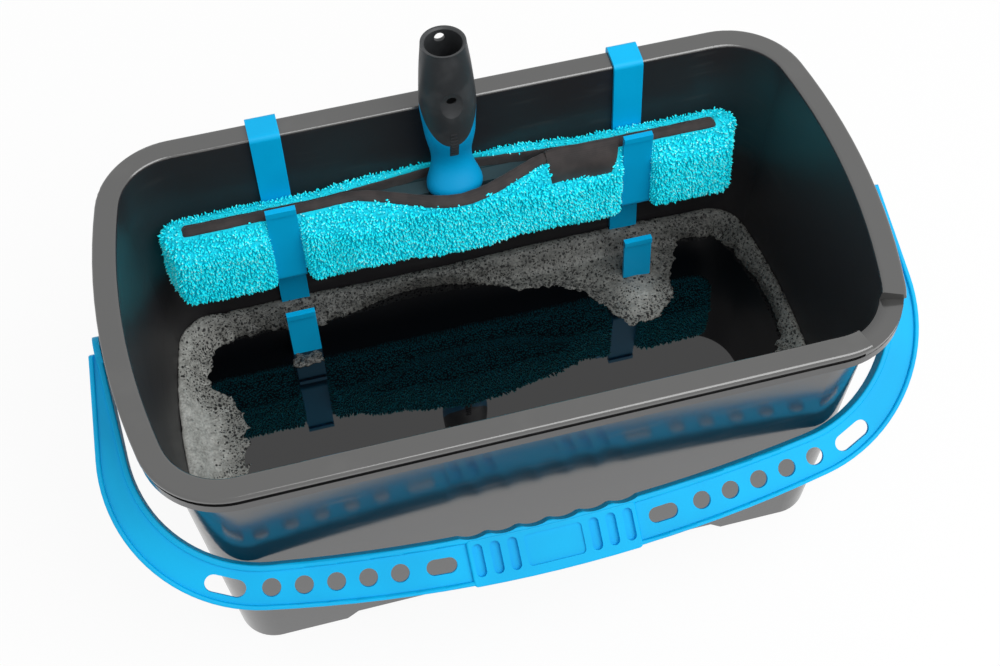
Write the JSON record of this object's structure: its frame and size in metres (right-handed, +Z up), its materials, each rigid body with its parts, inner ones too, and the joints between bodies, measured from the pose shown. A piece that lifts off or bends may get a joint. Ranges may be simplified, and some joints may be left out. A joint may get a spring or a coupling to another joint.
{
  "type": "window cleaning bucket",
  "caption": "Long tapered plastic bucket with rolled rim, pouring corner, swinging bail handle, side clips hooked on the back rim and a T-bar washer with pile sleeve parked in them.",
  "frame": {"origin": "on the floor under the centre of the bucket, in the plane of the feet", "axes": "+X along the bucket to the pouring corner's end, +Y to the back rim with the clips, +Z up"},
  "size_m": [0.592, 0.3306, 0.36],
  "materials": {
    "black_plastic": "semi-gloss",
    "blue_plastic": "semi-gloss",
    "soft_black": "satin",
    "grey_plastic": "matt",
    "screw_steel": "satin",
    "turquoise_pile": "deep pile",
    "black_cloth": "woven"
  },
  "bodies": {
    "bucket": {"bucket_tub": "black_plastic"},
    "bail": {"bail_handle": "blue_plastic"},
    "left_clip": {"left_side_clip": "blue_plastic"},
    "right_clip": {"right_side_clip": "blue_plastic"},
    "washer": {"washer_bar": "grey_plastic", "washer_handle": "blue_plastic", "handle_grip": "soft_black", "bar_screws": "screw_steel", "sleeve_pile": "turquoise_pile", "sleeve_front_binding": "black_cloth", "sleeve_back_binding": "black_cloth", "sleeve_label": "black_cloth"}
  },
  "joints": [
    {"name": "bail_swing", "type": "hinge", "parent": "bucket", "child": "bail", "pos_m": [0, 0, 0.256], "axis": [-1, 0, 0], "range_deg": [0, 254]},
    {"name": "washer_lift", "type": "slide", "parent": "bucket", "child": "washer", "axis": [0, 0.0695, 0.9976], "range_m": [0, 0.165]},
    {"name": "left_clip_slide", "type": "slide", "parent": "bucket", "child": "left_clip", "axis": [1, 0, 0], "range_m": [-0.05, 0.018]},
    {"name": "right_clip_slide", "type": "slide", "parent": "bucket", "child": "right_clip", "axis": [1, 0, 0], "range_m": [-0.006, 0.05]}
  ]
}
